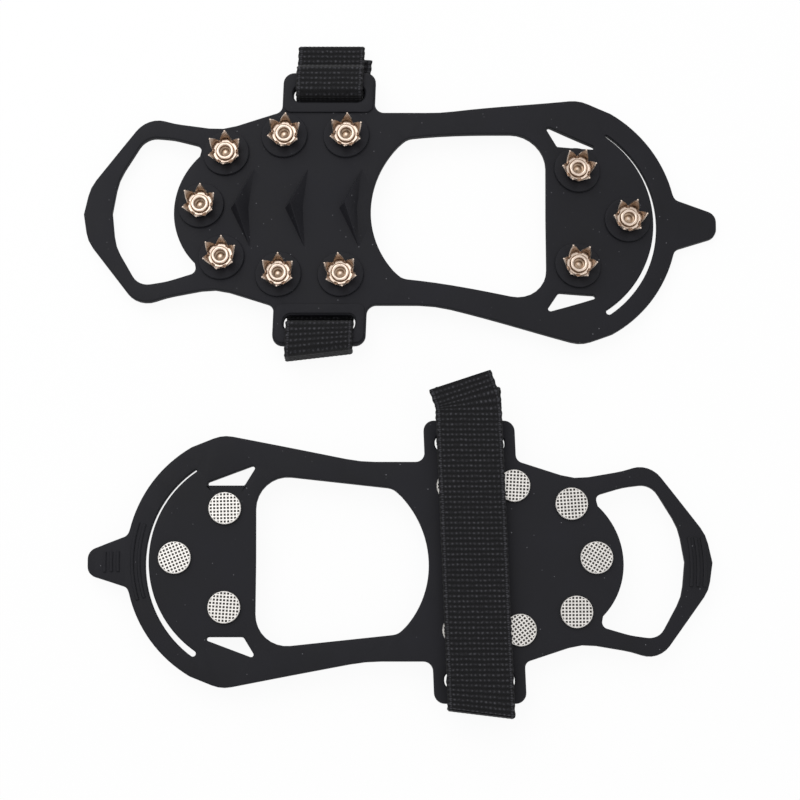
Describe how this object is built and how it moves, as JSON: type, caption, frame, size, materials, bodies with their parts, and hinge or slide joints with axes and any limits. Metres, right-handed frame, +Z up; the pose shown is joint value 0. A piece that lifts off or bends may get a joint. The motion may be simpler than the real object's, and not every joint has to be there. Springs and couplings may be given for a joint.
{
  "type": "ice cleats",
  "caption": "Pair of stretch rubber ice cleats with star-shaped spike studs, a toe loop, a heel rim with pull tab, and a hook-and-loop strap across the forefoot.",
  "frame": {"origin": "middle of the pair's footprint on the ground", "axes": "+Z up; +X from the toe of cleat a to its heel; +Y across the pair, from cleat b to cleat a"},
  "size_m": [0.242, 0.2602, 0.014],
  "materials": {
    "black_rubber": "matt moulded thermoplastic rubber",
    "webbing": "ribbed woven nylon hook-and-loop tape",
    "spike_nickel": "nickel-plated pressed steel",
    "rivet_steel": "knurled plated steel"
  },
  "bodies": {
    "cleat_a": {"cleat_a_frame": "black_rubber", "cleat_a_strap": "webbing", "cleat_a_crown_1": "spike_nickel", "cleat_a_crown_2": "spike_nickel", "cleat_a_crown_3": "spike_nickel", "cleat_a_crown_4": "spike_nickel", "cleat_a_crown_5": "spike_nickel", "cleat_a_crown_6": "spike_nickel", "cleat_a_crown_7": "spike_nickel", "cleat_a_crown_8": "spike_nickel", "cleat_a_crown_9": "spike_nickel", "cleat_a_crown_10": "spike_nickel", "cleat_a_rivet_1": "rivet_steel", "cleat_a_rivet_2": "rivet_steel", "cleat_a_rivet_3": "rivet_steel", "cleat_a_rivet_4": "rivet_steel", "cleat_a_rivet_5": "rivet_steel", "cleat_a_rivet_6": "rivet_steel", "cleat_a_rivet_7": "rivet_steel", "cleat_a_rivet_8": "rivet_steel", "cleat_a_rivet_9": "rivet_steel", "cleat_a_rivet_10": "rivet_steel"},
    "toe_loop_a": {"cleat_a_toe_loop": "black_rubber"},
    "heel_band_a": {"cleat_a_heel_band": "black_rubber"},
    "strap_tail_a": {"cleat_a_strap_tail": "webbing"},
    "cleat_b": {"cleat_b_frame": "black_rubber", "cleat_b_strap": "webbing", "cleat_b_crown_1": "spike_nickel", "cleat_b_crown_2": "spike_nickel", "cleat_b_crown_3": "spike_nickel", "cleat_b_crown_4": "spike_nickel", "cleat_b_crown_5": "spike_nickel", "cleat_b_crown_6": "spike_nickel", "cleat_b_crown_7": "spike_nickel", "cleat_b_crown_8": "spike_nickel", "cleat_b_crown_9": "spike_nickel", "cleat_b_crown_10": "spike_nickel", "cleat_b_rivet_1": "rivet_steel", "cleat_b_rivet_2": "rivet_steel", "cleat_b_rivet_3": "rivet_steel", "cleat_b_rivet_4": "rivet_steel", "cleat_b_rivet_5": "rivet_steel", "cleat_b_rivet_6": "rivet_steel", "cleat_b_rivet_7": "rivet_steel", "cleat_b_rivet_8": "rivet_steel", "cleat_b_rivet_9": "rivet_steel", "cleat_b_rivet_10": "rivet_steel"},
    "toe_loop_b": {"cleat_b_toe_loop": "black_rubber"},
    "heel_band_b": {"cleat_b_heel_band": "black_rubber"},
    "strap_tail_b": {"cleat_b_strap_tail": "webbing"}
  },
  "joints": [
    {"name": "toe_fold_a", "type": "hinge", "parent": "cleat_a", "child": "toe_loop_a", "pos_m": [-0.08825, 0.06432, 0.00481], "axis": [-0.038, -0.9993, 0], "range_deg": [-15, 90], "stiffness_Nm_per_rad": 0.04},
    {"name": "heel_fold_a", "type": "hinge", "parent": "cleat_a", "child": "heel_band_a", "pos_m": [0.08227, 0.0595, 0.00414], "axis": [0, 1, 0], "range_deg": [-15, 90], "stiffness_Nm_per_rad": 0.05},
    {"name": "tail_peel_a", "type": "hinge", "parent": "cleat_a", "child": "strap_tail_a", "pos_m": [-0.03079, 0.0087, 0.0007], "axis": [-0.9914, -0.1309, 0], "range_deg": [0, 160]},
    {"name": "toe_fold_b", "type": "hinge", "parent": "cleat_b", "child": "toe_loop_b", "pos_m": [0.08549, -0.0711, 0.00747], "axis": [0.038, -0.9993, 0], "range_deg": [-15, 90], "stiffness_Nm_per_rad": 0.04},
    {"name": "heel_fold_b", "type": "hinge", "parent": "cleat_b", "child": "heel_band_b", "pos_m": [-0.07949, -0.0711, 0.0076], "axis": [0, 1, 0], "range_deg": [-15, 90], "stiffness_Nm_per_rad": 0.05},
    {"name": "tail_peel_b", "type": "hinge", "parent": "cleat_b", "child": "strap_tail_b", "pos_m": [0.03, -0.1279, 0.0133], "axis": [0.9929, -0.1191, 0], "range_deg": [0, 160]},
    {"name": "second_cleat_lift", "type": "slide", "parent": "cleat_a", "child": "cleat_b", "axis": [0, 0, 1], "range_m": [0, 0.12]}
  ]
}
